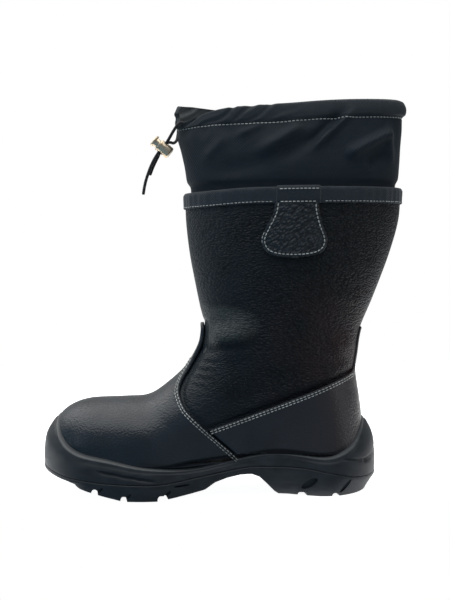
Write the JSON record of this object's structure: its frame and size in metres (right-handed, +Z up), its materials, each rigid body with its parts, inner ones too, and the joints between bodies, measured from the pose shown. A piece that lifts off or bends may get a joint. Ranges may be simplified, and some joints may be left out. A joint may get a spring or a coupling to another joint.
{
  "type": "work boot",
  "caption": "Pull-on black leather work boot with a moulded sole, toe bumper and heel guard, and a cloth snow cuff drawn in by a cord and a sprung cord lock.",
  "frame": {"origin": "middle of the boot's footprint box on the floor, without the cord and its lock", "axes": "+Z up, toe towards -X, heel towards +X, outer (lateral) side towards -Y, inner side towards +Y"},
  "size_m": [0.3374, 0.1162, 0.3575],
  "materials": {
    "shaft_leather": "black pebble-grain leather",
    "panel_leather": "black smoother leather, satin",
    "sole_rubber": "black moulded polyurethane, satin",
    "cuff_cloth": "blue-black coated nylon cloth",
    "binding_cloth": "dark woven tape",
    "insole_felt": "dark grey felt",
    "cord_braid": "black braided cord",
    "lock_nickel": "nickel plate"
  },
  "bodies": {
    "boot": {"outsole": "sole_rubber", "midsole": "sole_rubber", "insole": "insole_felt", "upper": "shaft_leather", "vamp": "panel_leather", "heel_counter": "panel_leather", "collar_binding": "binding_cloth", "pull_tab": "shaft_leather", "pull_strap": "binding_cloth", "snow_cuff": "cuff_cloth", "drawcord_long": "cord_braid", "drawcord_short": "cord_braid", "cord_lock_barrel": "lock_nickel"},
    "plunger": {"cord_lock_plunger": "lock_nickel"}
  },
  "joints": [
    {"name": "plunger_press", "type": "slide", "parent": "boot", "child": "plunger", "axis": [0.7641, 0, -0.6451], "range_m": [0, 0.0035], "stiffness_N_per_m": 200}
  ]
}
